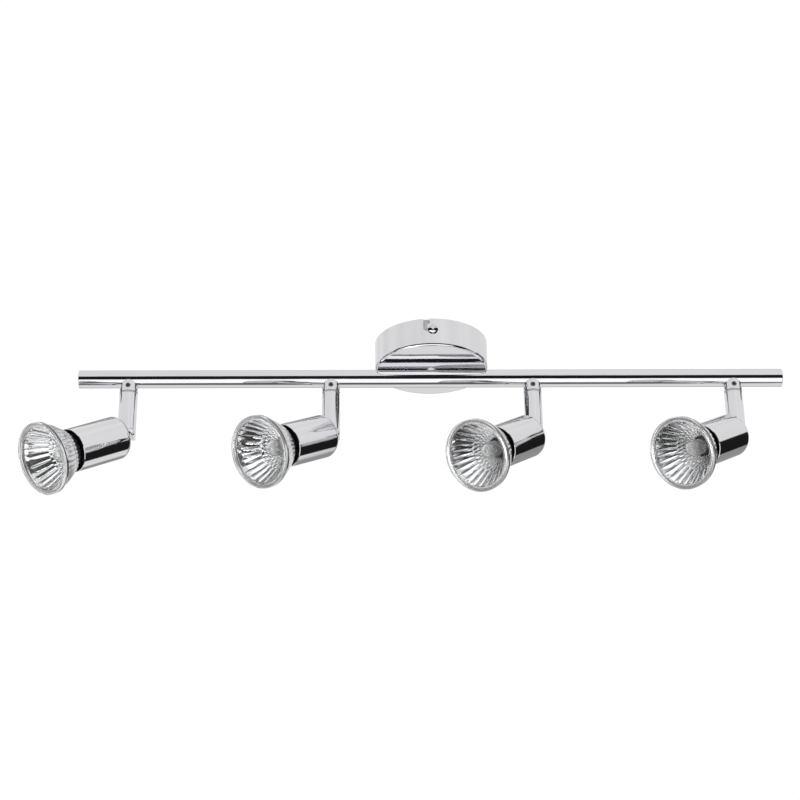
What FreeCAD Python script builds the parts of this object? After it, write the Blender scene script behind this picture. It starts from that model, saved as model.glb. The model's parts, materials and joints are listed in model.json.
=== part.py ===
import FreeCAD, Part
import math
import os

V = FreeCAD.Vector
X_AXIS = V(1, 0, 0)
Y_AXIS = V(0, 1, 0)
Z_AXIS = V(0, 0, 1)
ORIGIN = V(0, 0, 0)

# Four-spot ceiling bar.  Millimetres, +Z up, ceiling at z = 0, bar along X,
# the front of the room along -Y.

# ---- clearances -------------------------------------------------------
RUNNING_GAP = 0.05      # radial, between a turning piece and what it turns on
THREAD_GAP = 0.02       # radial, between a screw or a spigot and its hole
PLAY = 0.3              # between pieces that move past each other
FACE_GAP = 0.2          # between flat faces that turn on each other
CUT = 1.0               # how far a cutting shape runs past the face it opens

# ---- canopy and ceiling bracket ---------------------------------------
CANOPY_D = 80.0
CANOPY_H = 21.0
CANOPY_WALL = 1.2
CANOPY_EDGE_R = 2.0
SIDE_SCREW_DROP = 7.4   # canopy screw axis below the ceiling
SIDE_SLOT_W = 4.4
SIDE_SLOT_TURN = 4.3    # sideways travel of the bayonet slot
BRACKET_W = 18.0
BRACKET_T = 1.5
BRACKET_TAB_H = 12.0
BRACKET_TAB_W = 12.0
CEILING_SLOT_PITCH = 48.0
CEILING_SLOT_L = 12.0
CEILING_SLOT_W = 5.0
SCREW_M4 = 4.0
SCREW_HEAD_D = 8.0
SCREW_HEAD_H = 2.4
CANOPY_SCREW_TIP = 2.0  # thread left behind the bracket's tab
PAN_DOME = 0.45         # domed share of a pan head's height
PAN_SHOULDER = 0.36     # the dome's middle, as a share of the head's diameter
CROSS_REACH = 0.28      # cross recess: half length, as a share of the head's diameter
CROSS_W = 0.13          # its width, as a share of the same
CROSS_FLOOR = 0.35      # its floor, as a share of the head's height

# ---- terminal block ---------------------------------------------------
BLOCK_L = 26.0
BLOCK_W = 14.0
BLOCK_H = 12.0
BLOCK_WAYS = 3
BLOCK_GROOVE_W = 1.5
TERMINAL_SCREW_D = 3.0
TERMINAL_PIT_D = 4.4
TERMINAL_SCREW_L = 4.0  # below the pit's floor
TERMINAL_SCREW_SINK = 1.0
TERMINAL_SLOT_W = 0.6
TERMINAL_SLOT_DEPTH = 0.8
TERMINAL_PIT_DEPTH = 3.0

# ---- bar --------------------------------------------------------------
BAR_L = 500.0
BAR_D = 12.7
BAR_WALL = 1.2
END_CAP_T = 2.0
END_CAP_EDGE_R = 0.5
END_SPIGOT_L = 8.0
SPOT_COUNT = 4
END_MARGIN = 35.5       # from the bar's end to the outer spot
BAR_SCREW_X = 20.0      # from the middle of the bar
BAR_SCREW_L = 9.0
ANCHOR_L = 16.0
ANCHOR_FLAT = 0.5       # the anchors stop this far below the bar's axis
BUSH_D = 7.0
BUSH_BORE = 5.0
BUSH_FLANGE_D = 10.0
BUSH_FLANGE_T = 1.0
BUSH_REACH = 1.0        # below the bar's inner wall
LEAD_D = 1.8
LEAD_DROP = 2.9         # lead runs below the bar's axis

# ---- swivel -----------------------------------------------------------
ARM_D = 12.8
ARM_WALL = 1.0
EAR_RISE = 3.45         # the collar's ears above the bar's underside
COLLAR_DEPTH = 4.65     # the collar below the bar's underside
GRUB_D = 3.6
GRUB_L = 2.1
GRUB_SINK = 0.2
GRUB_BELOW = 1.05       # its axis below the bar's underside
GRUB_SOCKET = 1.8       # across the corners of its hexagon socket
STUD_WALL = 1.5
STUD_RISE = 0.55        # stands this far above the bar's inner wall
STUD_END = 0.8          # thread left below the nut
RING_T = 1.4            # visible flange of the arm's bush
BUSH_SPIGOT_L = 8.0
WASHER_T = 0.8
NUT_H = 3.5
NUT_WALL = 1.1
NUT_SLOT_W = 1.6
NUT_SLOT_DEPTH = 1.2

# ---- arm and tilt joint -----------------------------------------------
PIVOT_DROP = 43.0       # tilt axis below the bar's axis
FORK_WEB = 3.4          # solid stretch between the arm's bore and its slot
SLOT_W = 6.6
FORK_END = 4.8          # the arm ends this far below the tilt axis
KNUCKLE_W = 6.2
KNUCKLE_H = 8.0
KNUCKLE_HOLLOW = 3.4
WIRE_HOLE_D = 6.0
PIVOT_SCREW_D = 3.2
PIVOT_HEAD_D = 5.6
PIVOT_HEAD_H = 1.9
PIVOT_FLAT_DEPTH = 1.2  # depth of the flat under the pivot screw's head
PIVOT_DOME = 0.5        # domed share of its head's height
PIVOT_SHOULDER = 0.38   # the dome's middle, as a share of the head's diameter
PIVOT_CROWN = 0.2       # radius of its flat crown, as a share of the same
PIVOT_SOCKET = 2.8
SOCKET_DEPTH = 1.1
STEM_D = 8.0
STEM_BORE = 5.0
STEM_L = 7.0

# ---- head -------------------------------------------------------------
CUP_D = 30.4
CUP_WALL = 1.0
CUP_CLEARANCE = 0.6     # between the arm's fork and the cup's closed end
CUP_L = 42.5
CUP_EDGE_R = 4.0
HOLDER_GAP = 0.8        # around the holder in the cup
HOLDER_BOSS_D = 14.0
HOLDER_BOSS_H = 2.5
HOLDER_L = 16.5
HOLDER_CAVITY_L = 3.0
HOLDER_EDGE = 1.0
PIN_PITCH = 10.0
PIN_SHANK_D = 3.1
PIN_HEAD_D = 5.0
PIN_L = 7.0
PIN_HEAD_L = 3.8
PIN_SLOT_LIP = 2.2
PIN_ROOM = 0.35
TWIST = 25.0            # degrees from locked to released

# ---- lamp -------------------------------------------------------------
LAMP_D = 50.0
LAMP_BASE_D = 22.0
LAMP_BASE_L = 19.2
LAMP_BASE_EDGE = 1.2
REFLECTOR_NECK_D = 16.6
REFLECTOR_NECK_L = 7.6
REFLECTOR_L = 26.0      # from the base to the front of the rim
REFLECTOR_WALL = 1.6
REFLECTOR_BACK_D = 18.0
REFLECTOR_RIM_T = 1.5
RIM_INSET = 0.2         # the reflector's rim inside the glass ring
RIM_STEP = 0.4          # the bowl inside the reflector's rim
BOWL_OUT = 0.58         # middle of the bowl's curve: share of the way out
BOWL_ALONG = 0.47       # and share of the way forward
BOWL_NORMAL = (0.8, 0.6)    # direction of its wall there
GLASS_T = 2.4
GLASS_RING_W = 3.2
GLASS_RECESS = 0.6
GLASS_EDGE_R = 0.7
CAPSULE_D = 11.0
CAPSULE_L = 26.0
CAPSULE_STEM_D = 8.0
CAPSULE_STEM_L = 11.0

# ---- how each spot is turned and tilted, in degrees ---------------------
SPOT_SWIVEL = (-51.0, -46.0, -43.5, -47.5)
SPOT_TILT = (29.0, 27.0, 30.0, 28.0)

# ---- worked out ---------------------------------------------------------
BAR_R = BAR_D / 2
SPOT_PITCH = (BAR_L - 2 * END_MARGIN) / (SPOT_COUNT - 1)
BAR_INNER_R = BAR_R - BAR_WALL
BAR_Z = -CANOPY_H - BAR_R
TUBE_L = BAR_L - 2 * END_CAP_T
FLOOR_Z = -CANOPY_H + CANOPY_WALL
ARM_R = ARM_D / 2
ARM_BORE = ARM_D - 2 * ARM_WALL
COLLAR_TOP = BAR_R - EAR_RISE
COLLAR_BASE = BAR_R + COLLAR_DEPTH
GRUB_DROP = BAR_R + GRUB_BELOW
ARM_TOP = COLLAR_BASE + FACE_GAP + RING_T
NUT_R = ARM_BORE / 2 - PLAY
STUD_D = 2 * (NUT_R - NUT_WALL)
STUD_BORE = STUD_D - 2 * STUD_WALL
LEAD_SPACING = min(STUD_BORE, BUSH_BORE) - 2 * PLAY - LEAD_D
WASHER_TOP = ARM_TOP + BUSH_SPIGOT_L + FACE_GAP
STUD_TOP = BAR_INNER_R - STUD_RISE
STUD_BASE = WASHER_TOP + WASHER_T + NUT_H + STUD_END
SLOT_TOP = KNUCKLE_H / 2 + PLAY
BORE_FLOOR = SLOT_TOP + FORK_WEB
CUP_BACK = ARM_R + CUP_CLEARANCE
HOLDER_D = CUP_D - 2 * (CUP_WALL + HOLDER_GAP)
HOLDER_FRONT = CUP_BACK + CUP_WALL + HOLDER_BOSS_H + HOLDER_L
LAMP_BACK = HOLDER_FRONT + PLAY
BASE_FRONT = LAMP_BACK + LAMP_BASE_L
LAMP_FRONT = BASE_FRONT + REFLECTOR_L + GLASS_T
RIM_BACK = BASE_FRONT + REFLECTOR_L - REFLECTOR_RIM_T
LEAD_Z = BAR_Z - LEAD_DROP


def spot_x(index):
    return (index - (SPOT_COUNT - 1) / 2) * SPOT_PITCH


def cylinder(radius, start, end, axis=Z_AXIS, centre=ORIGIN):
    """Cylinder along an axis, from start to end measured from centre."""
    return Part.makeCylinder(radius, end - start, centre + axis * start, axis)


def box(low, high):
    size = V(*high) - V(*low)
    return Part.makeBox(size.x, size.y, size.z, V(*low))


def corner(centre_r, centre_z, radius, degrees):
    """Point at an angle on a round corner of a turned profile."""
    turn = math.radians(degrees)
    return (centre_r + radius * math.cos(turn), centre_z + radius * math.sin(turn))


def turned(*steps):
    """Solid of revolution about Z.  A step is a point (r, z), or a pair
    (middle, end) for an arc from the last point."""
    here = V(steps[0][0], 0, steps[0][1])
    first = here
    edges = []
    for step in steps[1:]:
        if isinstance(step[0], tuple):
            middle = V(step[0][0], 0, step[0][1])
            end = V(step[1][0], 0, step[1][1])
            edges.append(Part.Arc(here, middle, end).toShape())
        else:
            end = V(step[0], 0, step[1])
            edges.append(Part.LineSegment(here, end).toShape())
        here = end
    edges.append(Part.LineSegment(here, first).toShape())
    return Part.Face(Part.Wire(edges)).revolve(ORIGIN, Z_AXIS, 360)


def hexagon(across_corners, start, end):
    points = []
    for side in range(7):
        turn = math.radians(60 * side)
        radius = across_corners / 2
        points.append(V(radius * math.cos(turn), radius * math.sin(turn), start))
    return Part.Face(Part.makePolygon(points)).extrude(V(0, 0, end - start))


def arc_slot(pitch_r, width, first, last, start, end):
    """Curved slot about Z between two angles, with round ends."""
    inner = pitch_r - width / 2
    section = Part.makePlane(width, end - start, V(inner, 0, start), -Y_AXIS, X_AXIS)
    slot = section.revolve(ORIGIN, Z_AXIS, last - first)
    slot.rotate(ORIGIN, Z_AXIS, first)
    for degrees in (first, last):
        turn = math.radians(degrees)
        centre = V(pitch_r * math.cos(turn), pitch_r * math.sin(turn), 0)
        slot = slot.fuse(cylinder(width / 2, start, end, Z_AXIS, centre))
    return slot


def pan_screw(thread_d, length, head_d, head_h):
    """Pan-head screw pointing down -Z, its head standing on z = 0."""
    dome = head_h * PAN_DOME
    head = turned((0, 0), (head_d / 2, 0), (head_d / 2, head_h - dome),
                  ((head_d * PAN_SHOULDER, head_h - dome / 4), (0, head_h)))
    screw = head.fuse(cylinder(thread_d / 2, -length, 0))
    half = head_d * CROSS_W / 2
    reach = head_d * CROSS_REACH
    for turn in (0, 90):
        blade = box((-reach, -half, head_h * CROSS_FLOOR), (reach, half, head_h + CUT))
        blade.rotate(ORIGIN, Z_AXIS, turn)
        screw = screw.cut(blade)
    return screw


def export(shape, node):
    shape.exportStep("parts/%s.step" % node)
    print(node, len(shape.Solids), round(shape.Volume, 1), shape.isValid())


# ---- canopy and what it holds -------------------------------------------
def canopy():
    outer = CANOPY_D / 2
    inner = outer - CANOPY_WALL
    floor_r = CANOPY_EDGE_R - CANOPY_WALL
    shell = turned(
        (0, -CANOPY_H), (outer - CANOPY_EDGE_R, -CANOPY_H),
        (corner(outer - CANOPY_EDGE_R, CANOPY_EDGE_R - CANOPY_H, CANOPY_EDGE_R, -45),
         (outer, CANOPY_EDGE_R - CANOPY_H)),
        (outer, 0), (inner, 0), (inner, FLOOR_Z + floor_r),
        (corner(inner - floor_r, FLOOR_Z + floor_r, floor_r, -45), (inner - floor_r, FLOOR_Z)),
        (0, FLOOR_Z))
    half = SIDE_SLOT_W / 2
    deep = CANOPY_WALL + CANOPY_EDGE_R
    mouth = box((-SIDE_SLOT_TURN - half, -outer - CUT, -SIDE_SCREW_DROP),
                (-SIDE_SLOT_TURN + half, -outer + deep, CUT))
    run = box((-SIDE_SLOT_TURN, -outer - CUT, -SIDE_SCREW_DROP - half),
              (0, -outer + deep, -SIDE_SCREW_DROP + half))
    slot = mouth.fuse(run)
    for x in (-SIDE_SLOT_TURN, 0):
        centre = V(x, -outer, -SIDE_SCREW_DROP)
        slot = slot.fuse(cylinder(half, -CUT, deep, Y_AXIS, centre))
    for turn in (0, 180):
        shell = shell.cut(slot.copy().rotated(ORIGIN, Z_AXIS, turn))
    for x in (-BAR_SCREW_X, BAR_SCREW_X):
        shell = shell.cut(cylinder(SCREW_M4 / 2 + RUNNING_GAP, -CANOPY_H - CUT, 0, Z_AXIS, V(x, 0, 0)))
    return shell.cut(cylinder(BUSH_D / 2 + THREAD_GAP, -CANOPY_H - CUT, 0))


def bracket_half_length():
    return CANOPY_D / 2 - CANOPY_WALL - PLAY


def ceiling_bracket():
    reach = bracket_half_length()
    half = BRACKET_W / 2
    strap = box((-half, -reach, -BRACKET_T), (half, reach, 0))
    strap = strap.common(cylinder(reach, -BRACKET_T, 0))
    tab_face = math.sqrt(reach ** 2 - (BRACKET_TAB_W / 2) ** 2)
    for side in (-1, 1):
        low, high = sorted((side * tab_face, side * (tab_face - BRACKET_T)))
        tab = box((-BRACKET_TAB_W / 2, low, -BRACKET_TAB_H), (BRACKET_TAB_W / 2, high, 0))
        strap = strap.fuse(tab)
        centre = V(0, side * CEILING_SLOT_PITCH / 2, 0)
        straight = (CEILING_SLOT_L - CEILING_SLOT_W) / 2
        slot = box((-CEILING_SLOT_W / 2, centre.y - straight, -BRACKET_T - CUT),
                   (CEILING_SLOT_W / 2, centre.y + straight, CUT))
        for end in (-straight, straight):
            middle = centre + V(0, end, 0)
            slot = slot.fuse(cylinder(CEILING_SLOT_W / 2, -BRACKET_T - CUT, CUT, Z_AXIS, middle))
        strap = strap.cut(slot)
    hole = cylinder(SCREW_M4 / 2 + THREAD_GAP, -CANOPY_D, CANOPY_D, Y_AXIS, V(0, 0, -SIDE_SCREW_DROP))
    return strap.cut(hole).removeSplitter()


def canopy_screws():
    tab_face = math.sqrt(bracket_half_length() ** 2 - (BRACKET_TAB_W / 2) ** 2)
    length = CANOPY_D / 2 - tab_face + BRACKET_T + CANOPY_SCREW_TIP
    screw = pan_screw(SCREW_M4, length, SCREW_HEAD_D, SCREW_HEAD_H)
    screw.rotate(ORIGIN, X_AXIS, 90)
    screw.translate(V(0, -CANOPY_D / 2, -SIDE_SCREW_DROP))
    return Part.Compound([screw, screw.rotated(ORIGIN, Z_AXIS, 180)])


def terminal_places():
    pitch = BLOCK_L / BLOCK_WAYS
    for way in range(BLOCK_WAYS):
        for side in (-1, 1):
            yield V((way - (BLOCK_WAYS - 1) / 2) * pitch, side * BLOCK_W / 4, 0)


def terminal_block():
    base = -BRACKET_T - BLOCK_H
    block = box((-BLOCK_L / 2, -BLOCK_W / 2, base), (BLOCK_L / 2, BLOCK_W / 2, -BRACKET_T))
    pitch = BLOCK_L / BLOCK_WAYS
    for way in range(1, BLOCK_WAYS):
        left = way * pitch - BLOCK_L / 2 - BLOCK_GROOVE_W / 2
        groove = box((left, -BLOCK_W, base - CUT), (left + BLOCK_GROOVE_W, BLOCK_W, base + BLOCK_H / 2))
        block = block.cut(groove)
    for place in terminal_places():
        floor = base + TERMINAL_PIT_DEPTH
        block = block.cut(cylinder(TERMINAL_PIT_D / 2, base - CUT, floor, Z_AXIS, place))
        hole = cylinder(TERMINAL_SCREW_D / 2 + THREAD_GAP, base, floor + TERMINAL_SCREW_L, Z_AXIS, place)
        block = block.cut(hole)
    return block


def terminal_screws():
    base = -BRACKET_T - BLOCK_H
    head = base + TERMINAL_SCREW_SINK
    tip = base + TERMINAL_PIT_DEPTH + TERMINAL_SCREW_L
    half = TERMINAL_SLOT_W / 2
    screws = []
    for place in terminal_places():
        screw = cylinder(TERMINAL_SCREW_D / 2, head, tip, Z_AXIS, place)
        slot = box((place.x - TERMINAL_SCREW_D, place.y - half, base),
                   (place.x + TERMINAL_SCREW_D, place.y + half, head + TERMINAL_SLOT_DEPTH))
        screws.append(screw.cut(slot))
    return Part.Compound(screws)


# ---- bar ------------------------------------------------------------------
def bar_tube():
    axis_point = V(0, 0, BAR_Z)
    tube = cylinder(BAR_R, -TUBE_L / 2, TUBE_L / 2, X_AXIS, axis_point)
    tube = tube.cut(cylinder(BAR_INNER_R, -TUBE_L, TUBE_L, X_AXIS, axis_point))
    for index in range(SPOT_COUNT):
        hole = cylinder(STUD_D / 2 + THREAD_GAP, -BAR_D, 0, Z_AXIS, V(spot_x(index), 0, BAR_Z))
        tube = tube.cut(hole)
    for x in (-BAR_SCREW_X, BAR_SCREW_X):
        tube = tube.cut(cylinder(SCREW_M4 / 2 + RUNNING_GAP, 0, BAR_D, Z_AXIS, V(x, 0, BAR_Z)))
    return tube.cut(cylinder(BUSH_D / 2 + THREAD_GAP, 0, BAR_D, Z_AXIS, axis_point))


def bar_end_caps():
    edge = END_CAP_EDGE_R
    cap = turned((0, 0), (BAR_R, 0), (BAR_R, END_CAP_T - edge),
                 (corner(BAR_R - edge, END_CAP_T - edge, edge, 45), (BAR_R - edge, END_CAP_T)),
                 (0, END_CAP_T))
    cap = cap.fuse(cylinder(BAR_INNER_R - THREAD_GAP, -END_SPIGOT_L, 0))
    cap.rotate(ORIGIN, Y_AXIS, 90)
    cap.translate(V(TUBE_L / 2, 0, BAR_Z))
    return Part.Compound([cap.rotated(ORIGIN, Z_AXIS, 180), cap])


def bar_anchors():
    anchors = []
    for x in (-BAR_SCREW_X, BAR_SCREW_X):
        centre = V(x, 0, BAR_Z)
        block = cylinder(BAR_INNER_R - THREAD_GAP, -ANCHOR_L / 2, ANCHOR_L / 2, X_AXIS, centre)
        block = block.common(box((x - ANCHOR_L, -BAR_R, BAR_Z - ANCHOR_FLAT),
                                 (x + ANCHOR_L, BAR_R, BAR_Z + BAR_R)))
        anchors.append(block.cut(cylinder(SCREW_M4 / 2 + THREAD_GAP, -BAR_R, BAR_R, Z_AXIS, centre)))
    return Part.Compound(anchors)


def bar_screws():
    screws = []
    for x in (-BAR_SCREW_X, BAR_SCREW_X):
        screw = pan_screw(SCREW_M4, BAR_SCREW_L, SCREW_HEAD_D, SCREW_HEAD_H)
        screw.translate(V(x, 0, FLOOR_Z))
        screws.append(screw)
    return Part.Compound(screws)


def wire_bush():
    bush = cylinder(BUSH_D / 2, BAR_Z + BAR_INNER_R - BUSH_REACH, FLOOR_Z)
    bush = bush.fuse(cylinder(BUSH_FLANGE_D / 2, FLOOR_Z, FLOOR_Z + BUSH_FLANGE_T))
    return bush.cut(cylinder(BUSH_BORE / 2, BAR_Z, 0))


def supply_leads():
    """Live and neutral: down from the terminal block, along the bar and
    into each hollow stud."""
    radius = LEAD_D / 2
    reach = spot_x(SPOT_COUNT - 1)
    leads = []
    for side in (-1, 1):
        line = V(0, side * LEAD_SPACING / 2, 0)
        lead = cylinder(radius, -reach, reach, X_AXIS, line + V(0, 0, LEAD_Z))
        lead = lead.fuse(cylinder(radius, LEAD_Z, -BRACKET_T - BLOCK_H, Z_AXIS, line))
        for index in range(SPOT_COUNT):
            place = line + V(spot_x(index), 0, 0)
            lead = lead.fuse(cylinder(radius, BAR_Z - STUD_BASE, LEAD_Z, Z_AXIS, place))
            lead = lead.fuse(Part.makeSphere(radius, place + V(0, 0, LEAD_Z)))
        leads.append(lead.removeSplitter())
    return Part.Compound(leads)


# ---- swivel pieces fixed to the bar ------------------------------------------
def at_spots(shape):
    """A copy of a piece below the bar's axis at every spot."""
    copies = []
    for index in range(SPOT_COUNT):
        copies.append(shape.translated(V(spot_x(index), 0, BAR_Z)))
    return Part.Compound(copies)


def swivel_collar():
    """Round collar whose arched ears hug the bar from below."""
    collar = cylinder(ARM_R, -COLLAR_BASE, 0)
    arch = cylinder(ARM_R, -ARM_D, ARM_D, Y_AXIS, V(0, 0, -COLLAR_TOP - ARM_R))
    below = box((-ARM_D, -ARM_D, -COLLAR_BASE), (ARM_D, ARM_D, -COLLAR_TOP - ARM_R))
    collar = collar.common(arch.fuse(below))
    collar = collar.cut(cylinder(BAR_R + THREAD_GAP, -ARM_D, ARM_D, X_AXIS))
    collar = collar.cut(cylinder(STUD_D / 2 + THREAD_GAP, -COLLAR_BASE - CUT, 0))
    return collar.cut(cylinder(GRUB_D / 2 + THREAD_GAP, -ARM_D, 0, Y_AXIS, V(0, 0, -GRUB_DROP)))


def grub_screw():
    tip = max(STUD_D / 2 + THREAD_GAP, ARM_R - GRUB_SINK - GRUB_L)
    screw = cylinder(GRUB_D / 2, tip, ARM_R - GRUB_SINK)
    screw = screw.cut(hexagon(GRUB_SOCKET, ARM_R - GRUB_SINK - GRUB_L / 2, ARM_R))
    screw.rotate(ORIGIN, X_AXIS, 90)
    return screw.translated(V(0, 0, -GRUB_DROP))


def swivel_stud():
    stud = cylinder(STUD_D / 2, -STUD_BASE, -STUD_TOP)
    return stud.cut(cylinder(STUD_BORE / 2, -STUD_BASE - CUT, 0))


def swivel_washer():
    washer = cylinder(NUT_R, -WASHER_TOP - WASHER_T, -WASHER_TOP)
    return washer.cut(cylinder(STUD_D / 2 + RUNNING_GAP, -STUD_BASE, 0))


def swivel_nut():
    """Round nut with a cross slot in its lower face for a pronged driver."""
    top = -WASHER_TOP - WASHER_T
    base = top - NUT_H
    half = NUT_SLOT_W / 2
    nut = cylinder(NUT_R, base, top)
    nut = nut.cut(cylinder(STUD_D / 2 + THREAD_GAP, base - CUT, top + CUT))
    for turn in (0, 90):
        slot = box((-ARM_R, -half, base - CUT), (ARM_R, half, base + NUT_SLOT_DEPTH))
        slot.rotate(ORIGIN, Z_AXIS, turn)
        nut = nut.cut(slot)
    return nut


# ---- arm: built about its pivot, with the head's side along -Y ----------------
def arm():
    top = PIVOT_DROP - ARM_TOP
    body = cylinder(ARM_R, 0, top)
    end = cylinder(ARM_R, -FORK_END, 0).common(cylinder(ARM_R, -ARM_R, ARM_R, X_AXIS))
    body = body.fuse(end).removeSplitter()
    body = body.cut(cylinder(ARM_BORE / 2, BORE_FLOOR, top + CUT))
    body = body.cut(box((-SLOT_W / 2, -ARM_D, -ARM_D), (SLOT_W / 2, ARM_D, SLOT_TOP)))
    body = body.cut(cylinder(WIRE_HOLE_D / 2, 0, top))
    flat = ARM_R - PIVOT_FLAT_DEPTH
    body = body.cut(cylinder(PIVOT_HEAD_D / 2 + THREAD_GAP, flat, ARM_D, X_AXIS))
    body = body.cut(cylinder(PIVOT_SCREW_D / 2 + RUNNING_GAP, 0, ARM_D, X_AXIS))
    return body.cut(cylinder(PIVOT_SCREW_D / 2 + THREAD_GAP, -flat, 0, X_AXIS))


def arm_bush():
    """Flanged bush in the top of the arm, which turns on the stud."""
    top = PIVOT_DROP - ARM_TOP
    bush = cylinder(ARM_R - THREAD_GAP, top, top + RING_T)
    bush = bush.fuse(cylinder(ARM_BORE / 2 - THREAD_GAP, top - BUSH_SPIGOT_L, top))
    return bush.cut(cylinder(STUD_D / 2 + RUNNING_GAP, 0, PIVOT_DROP))


def pivot_screw():
    flat = ARM_R - PIVOT_FLAT_DEPTH
    dome = PIVOT_HEAD_H * PIVOT_DOME
    head = turned((0, 0), (PIVOT_HEAD_D / 2, 0), (PIVOT_HEAD_D / 2, PIVOT_HEAD_H - dome),
                  ((PIVOT_HEAD_D * PIVOT_SHOULDER, PIVOT_HEAD_H - dome / 4),
                   (PIVOT_HEAD_D * PIVOT_CROWN, PIVOT_HEAD_H)),
                  (0, PIVOT_HEAD_H))
    screw = head.fuse(cylinder(PIVOT_SCREW_D / 2, -2 * flat, 0))
    screw = screw.cut(hexagon(PIVOT_SOCKET, PIVOT_HEAD_H - SOCKET_DEPTH, PIVOT_HEAD_H + CUT))
    screw.rotate(ORIGIN, Y_AXIS, 90)
    return screw.translated(V(flat, 0, 0))


# ---- head: built along +Z, z measured from the tilt axis, which is X ----------
def knuckle():
    """Hollow eye on the pivot screw, with a hollow threaded stem."""
    half = KNUCKLE_W / 2
    rise = KNUCKLE_H / 2
    eye = cylinder(rise, -half, half, X_AXIS)
    eye = eye.fuse(box((-half, -rise, 0), (half, rise, CUP_BACK)))
    eye = eye.cut(box((-KNUCKLE_HOLLOW / 2, -KNUCKLE_H, -KNUCKLE_H),
                      (KNUCKLE_HOLLOW / 2, KNUCKLE_H, rise)))
    eye = eye.cut(cylinder(PIVOT_SCREW_D / 2 + RUNNING_GAP, -KNUCKLE_W, KNUCKLE_W, X_AXIS))
    eye = eye.fuse(cylinder(STEM_D / 2, CUP_BACK, CUP_BACK + STEM_L))
    return eye.cut(cylinder(STEM_BORE / 2, rise, CUP_BACK + STEM_L + CUT)).removeSplitter()


def head_cup():
    outer = CUP_D / 2
    inner = outer - CUP_WALL
    inner_edge = CUP_EDGE_R - CUP_WALL
    front = CUP_BACK + CUP_L
    back = CUP_BACK + CUP_WALL
    lip = CUP_WALL / 4
    shell = turned(
        (0, CUP_BACK), (outer - CUP_EDGE_R, CUP_BACK),
        (corner(outer - CUP_EDGE_R, CUP_BACK + CUP_EDGE_R, CUP_EDGE_R, -45),
         (outer, CUP_BACK + CUP_EDGE_R)),
        (outer, front - lip), (outer - lip, front), (inner, front), (inner, back + inner_edge),
        (corner(inner - inner_edge, back + inner_edge, inner_edge, -45), (inner - inner_edge, back)),
        (0, back))
    return shell.cut(cylinder(STEM_D / 2 + THREAD_GAP, 0, back + CUT))


def lampholder():
    """Ceramic twist-lock holder, drawn against the cup's end by the stem."""
    back = CUP_BACK + CUP_WALL
    boss_end = back + HOLDER_BOSS_H
    body = turned((0, back), (HOLDER_BOSS_D / 2, back), (HOLDER_BOSS_D / 2, boss_end),
                  (HOLDER_D / 2, boss_end), (HOLDER_D / 2, HOLDER_FRONT - HOLDER_EDGE),
                  (HOLDER_D / 2 - HOLDER_EDGE, HOLDER_FRONT), (0, HOLDER_FRONT))
    stem_end = CUP_BACK + STEM_L
    body = body.cut(cylinder(STEM_D / 2 + THREAD_GAP, back - CUT, stem_end))
    body = body.cut(cylinder(WIRE_HOLE_D / 2, stem_end, stem_end + HOLDER_CAVITY_L))
    lip_back = HOLDER_FRONT - PIN_SLOT_LIP
    pocket_end = LAMP_BACK - PIN_L - PLAY
    narrow = PIN_SHANK_D + 2 * PIN_ROOM
    wide = PIN_HEAD_D + 2 * PIN_ROOM
    for side in (0, 180):
        turn = math.radians(side + TWIST)
        release = V(PIN_PITCH / 2 * math.cos(turn), PIN_PITCH / 2 * math.sin(turn), 0)
        mouth = HOLDER_FRONT + CUT
        body = body.cut(arc_slot(PIN_PITCH / 2, narrow, side, side + TWIST, lip_back, mouth))
        body = body.cut(arc_slot(PIN_PITCH / 2, wide, side, side + TWIST, pocket_end, lip_back))
        body = body.cut(cylinder(wide / 2, lip_back, mouth, Z_AXIS, release))
    return body


# ---- lamp -------------------------------------------------------------------
def lamp_pins():
    tip = LAMP_BACK - PIN_L
    neck = tip + PIN_HEAD_L
    pins = []
    for side in (-1, 1):
        centre = V(side * PIN_PITCH / 2, 0, 0)
        shank = cylinder(PIN_SHANK_D / 2, neck, LAMP_BACK, Z_AXIS, centre)
        pins.append(shank.fuse(cylinder(PIN_HEAD_D / 2, tip, neck, Z_AXIS, centre)))
    return Part.Compound(pins)


def lamp_base():
    radius = LAMP_BASE_D / 2
    edge = LAMP_BASE_EDGE
    socket_r = REFLECTOR_NECK_D / 2 + THREAD_GAP
    socket_floor = BASE_FRONT - REFLECTOR_NECK_L
    return turned((0, LAMP_BACK), (radius - edge, LAMP_BACK), (radius, LAMP_BACK + edge),
                  (radius, BASE_FRONT), (socket_r, BASE_FRONT), (socket_r, socket_floor),
                  (0, socket_floor))


def bowl_arc(inset):
    """Middle and ends of the bowl's curve, drawn in by a wall thickness."""
    back_r = REFLECTOR_BACK_D / 2
    rim_r = LAMP_D / 2 - RIM_INSET - RIM_STEP
    middle = (back_r + (rim_r - back_r) * BOWL_OUT - inset * BOWL_NORMAL[0],
              BASE_FRONT + (RIM_BACK - BASE_FRONT) * BOWL_ALONG + inset * BOWL_NORMAL[1])
    return (back_r - inset, BASE_FRONT + inset), middle, (rim_r - inset, RIM_BACK)


def lamp_reflector():
    neck_r = REFLECTOR_NECK_D / 2
    neck_back = BASE_FRONT - REFLECTOR_NECK_L
    outer_start, outer_mid, outer_end = bowl_arc(0)
    inner_start, inner_mid, inner_end = bowl_arc(REFLECTOR_WALL)
    rim_front = BASE_FRONT + REFLECTOR_L
    rim_r = LAMP_D / 2 - RIM_INSET
    bore = neck_r - REFLECTOR_WALL
    return turned((bore, neck_back), (neck_r, neck_back), (neck_r, BASE_FRONT), outer_start,
                  (outer_mid, outer_end), (rim_r, RIM_BACK), (rim_r, rim_front),
                  (inner_end[0], rim_front), inner_end, (inner_mid, inner_start),
                  (bore, BASE_FRONT + REFLECTOR_WALL))


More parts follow.
